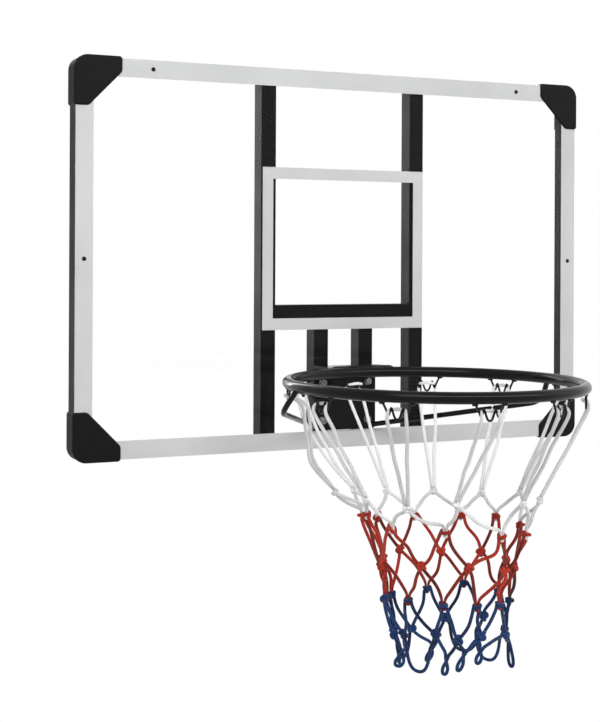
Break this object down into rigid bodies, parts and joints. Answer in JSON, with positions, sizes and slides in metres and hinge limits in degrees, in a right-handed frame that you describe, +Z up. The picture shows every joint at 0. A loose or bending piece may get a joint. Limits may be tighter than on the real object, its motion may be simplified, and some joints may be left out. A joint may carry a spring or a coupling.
{
  "type": "basketball backboard",
  "caption": "Clear basketball backboard on a black tube frame with corner caps, a fixed round rim on a bolted bracket, wire net hooks and a three-colour knotted net.",
  "frame": {"origin": "centre of the bracket bolt pattern, on the back face of the two uprights; it is also the centre of the board", "axes": "+X to the right as seen from the court, +Y back towards whatever carries the board, +Z up"},
  "size_m": [0.9, 0.5102, 0.8866],
  "materials": {
    "clear_polycarbonate": "clear polycarbonate sheet, polished",
    "white_film": "white vinyl film, satin",
    "black_powder_coat": "black powder coat on steel tube, fine texture",
    "black_enamel": "black enamel on steel bar, gloss",
    "black_moulding": "moulded black polypropylene, fine matt",
    "zinc_plate": "bright zinc plated steel",
    "black_screw": "black oxide steel",
    "white_cord": "braided polyester cord, white",
    "red_cord": "braided polyester cord, red",
    "blue_cord": "braided polyester cord, blue"
  },
  "bodies": {
    "board": {"panel": "clear_polycarbonate", "border_band": "white_film", "target_band": "white_film", "top_tube": "black_powder_coat", "bottom_tube": "black_powder_coat", "left_tube": "black_powder_coat", "right_tube": "black_powder_coat", "left_upright": "black_powder_coat", "right_upright": "black_powder_coat", "cross_bar": "black_powder_coat", "left_hoop_post": "black_powder_coat", "right_hoop_post": "black_powder_coat", "corner_cap_lower_left": "black_moulding", "corner_cap_upper_left": "black_moulding", "corner_cap_upper_right": "black_moulding", "corner_cap_lower_right": "black_moulding", "panel_screws": "black_screw", "rim_ring": "black_enamel", "rim_bracket": "black_enamel", "left_brace": "black_enamel", "right_brace": "black_enamel", "net_hooks": "black_enamel", "rim_bolts": "zinc_plate", "rim_washers": "zinc_plate", "rim_weld_nuts": "zinc_plate", "bracket_weld_nuts": "zinc_plate", "net_loops": "white_cord"},
    "net": {"net_white_mesh": "white_cord", "net_red_mesh": "red_cord", "net_blue_mesh": "blue_cord"}
  },
  "joints": [
    {"name": "net_sway", "type": "hinge", "parent": "board", "child": "net", "pos_m": [0, -0.293, -0.174], "axis": [1, 0, 0], "range_deg": [-8, 8], "deforming": ["net_loops"]}
  ]
}
